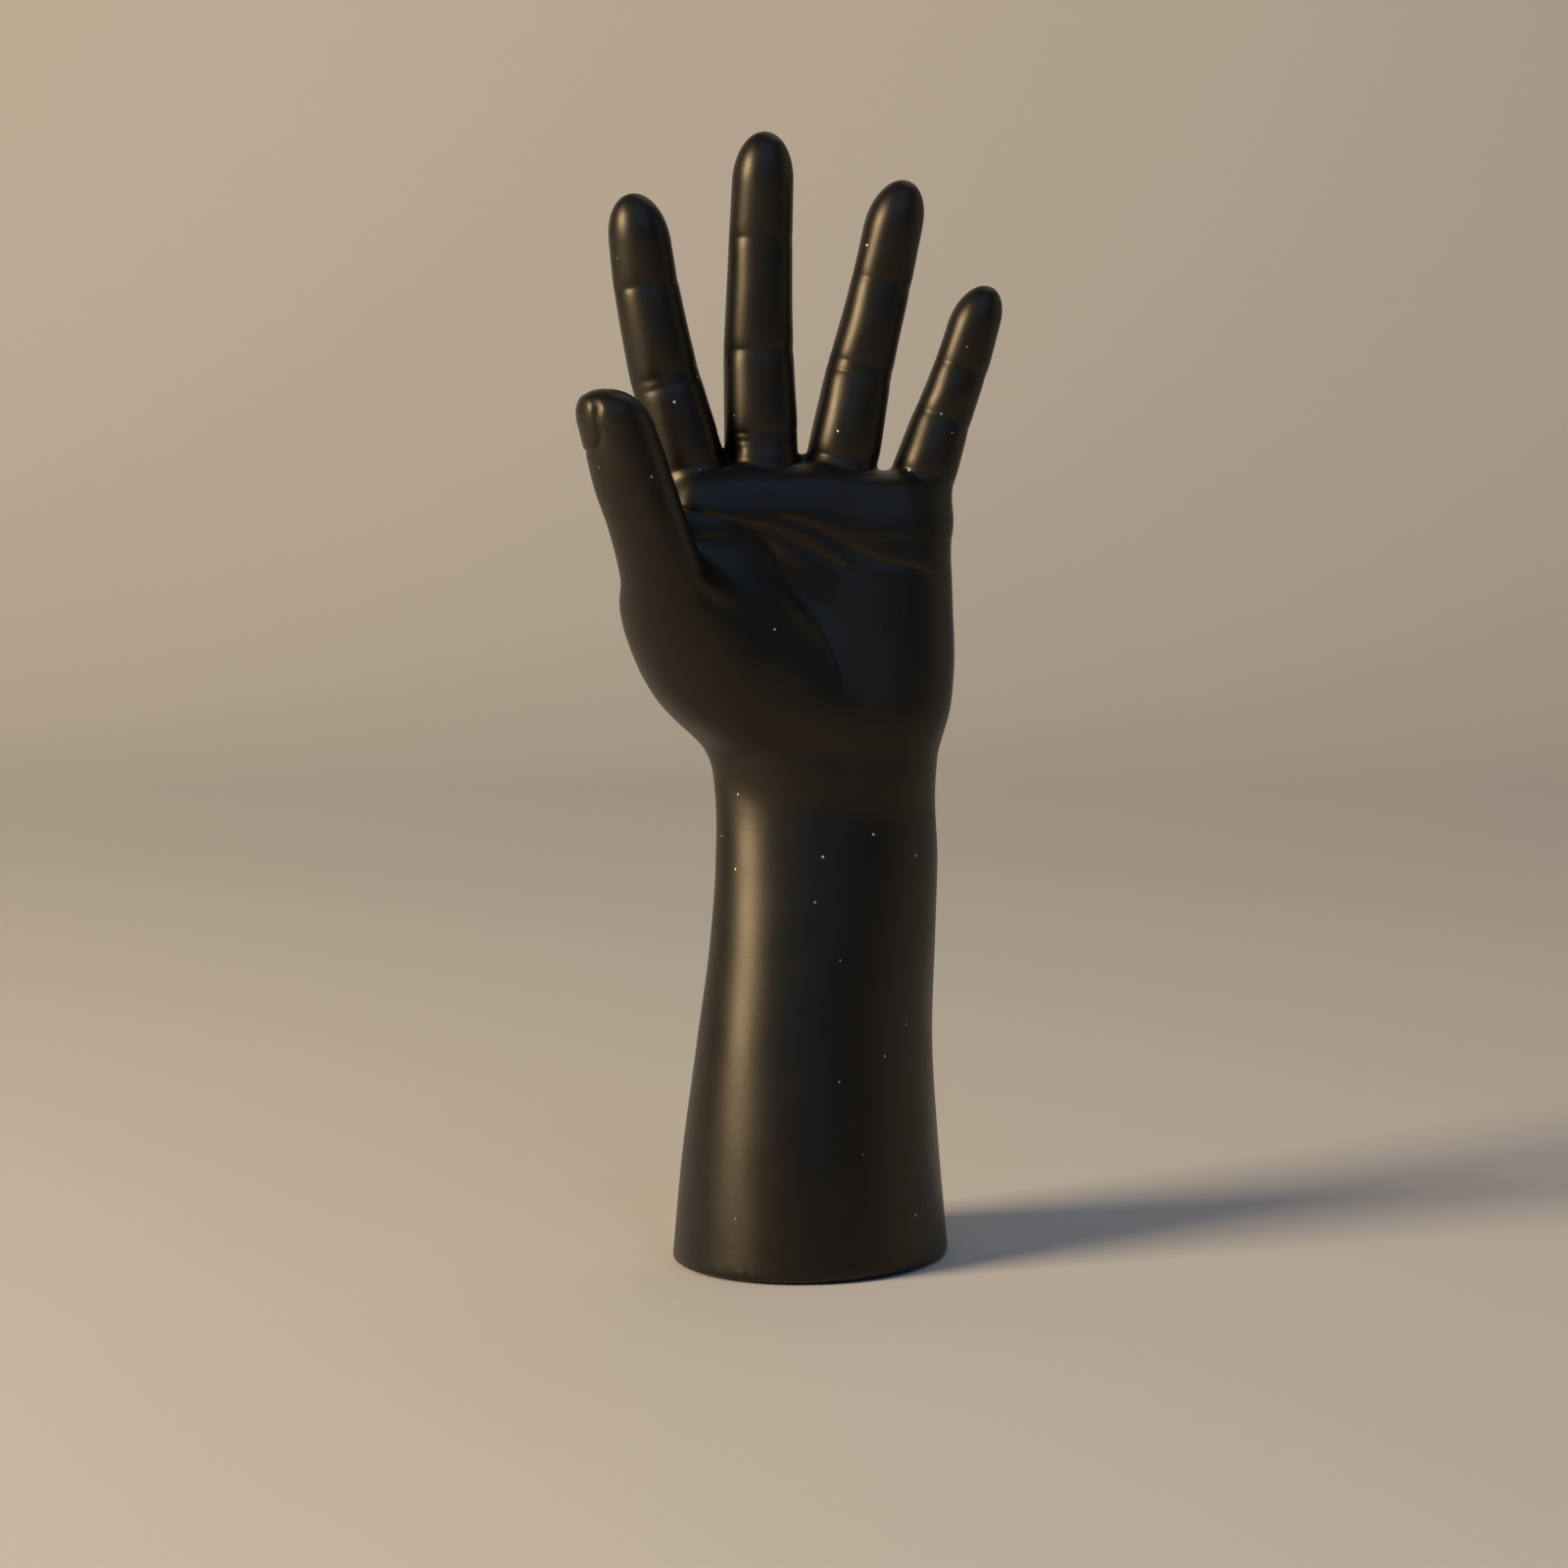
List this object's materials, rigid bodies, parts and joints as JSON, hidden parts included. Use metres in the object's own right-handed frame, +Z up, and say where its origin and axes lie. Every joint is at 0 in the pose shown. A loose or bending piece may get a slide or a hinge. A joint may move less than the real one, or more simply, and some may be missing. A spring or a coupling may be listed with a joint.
{
  "type": "ring display hand",
  "caption": "Free-standing black mannequin forearm and open hand with spread fingers that hold rings for display, cast hollow over a weighted, felted foot.",
  "frame": {"origin": "middle of the felt's underside, on the surface the hand stands on", "axes": "+Z up along the forearm to the fingertips, -Y the way the palm looks, -X towards the thumb"},
  "size_m": [0.1219, 0.0819, 0.3092],
  "materials": {
    "satin_black_resin": "hollow-cast resin with a sprayed satin black coat",
    "drawn_steel": "drawn wire and plain steel fasteners",
    "birch_plywood": "sawn birch plywood, unfinished",
    "cast_iron": "raw casting",
    "black_felt": "die-cut pressed felt, self-adhesive"
  },
  "bodies": {
    "root": {"hand_shell": "satin_black_resin", "index_wire": "drawn_steel", "middle_wire": "drawn_steel", "ring_wire": "drawn_steel", "little_wire": "drawn_steel", "thumb_wire": "drawn_steel", "base_plate": "birch_plywood", "ballast_weight": "cast_iron", "ballast_bolt": "drawn_steel", "ballast_washer": "drawn_steel", "ballast_nut": "drawn_steel", "felt_pad": "black_felt"}
  },
  "joints": []
}
